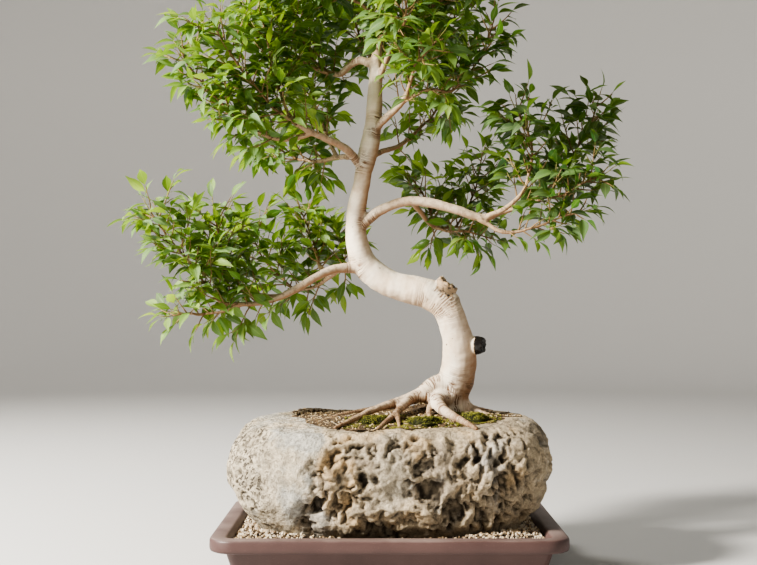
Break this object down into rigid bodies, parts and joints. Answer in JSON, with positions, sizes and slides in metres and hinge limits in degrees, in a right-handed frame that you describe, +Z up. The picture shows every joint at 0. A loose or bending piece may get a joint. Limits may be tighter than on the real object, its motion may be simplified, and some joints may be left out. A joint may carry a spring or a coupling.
{
  "type": "birch bonsai",
  "caption": "Pale-barked bonsai tree with a curved trunk and drooping leaves, its roots gripping a rough rock that is bedded in gravel in a shallow clay tray.",
  "frame": {"origin": "middle of the tray's flat underside", "axes": "+Z up, +X right along the tray's long side, -Y towards the front"},
  "size_m": [0.5675, 0.318, 0.7793],
  "materials": {
    "clay": "unglazed purple-brown clay, matt with a faint sheen on the rim",
    "gravel": "loose tan grit of mixed grains",
    "stone": "rough weathered grey and tan rock with pits",
    "earth": "dark crumbly earth with brown litter",
    "moss": "short dense yellow-green moss",
    "bark": "smooth cream bark with small dark marks and fine wrinkles",
    "leaf": "satin green leaves, lighter where light shines through, on green-brown twigs"
  },
  "bodies": {
    "root": {"tray": "clay", "gravel": "gravel", "rock": "stone", "earth": "earth", "moss_left": "moss", "moss_front": "moss", "moss_right": "moss", "moss_back": "moss", "tree": "bark", "spray_low_left": "leaf", "spray_low_left_inner": "leaf", "spray_low_left_under": "leaf", "spray_low_left_rise": "leaf", "spray_low_left_behind": "leaf", "spray_low_left_back": "leaf", "spray_right_upper": "leaf", "spray_right_outer": "leaf", "spray_right_middle": "leaf", "spray_right_under": "leaf", "spray_right_behind": "leaf", "spray_right_behind_low": "leaf", "spray_right_behind_left": "leaf", "spray_mid_left": "leaf", "spray_mid_left_long": "leaf", "spray_mid_left_rise": "leaf", "spray_mid_left_behind": "leaf", "spray_mid_left_back_rise": "leaf", "spray_high_left": "leaf", "spray_high_left_outer": "leaf", "spray_mid_right": "leaf", "spray_mid_right_out": "leaf", "spray_back_right": "leaf", "spray_high_right": "leaf", "spray_front_high": "leaf", "spray_back_high": "leaf", "spray_back_high_right": "leaf", "spray_crown_left": "leaf", "spray_crown_left_back": "leaf", "spray_crown_right": "leaf", "spray_crown_front": "leaf", "spray_crown_back": "leaf", "spray_apex": "leaf"}
  },
  "joints": []
}
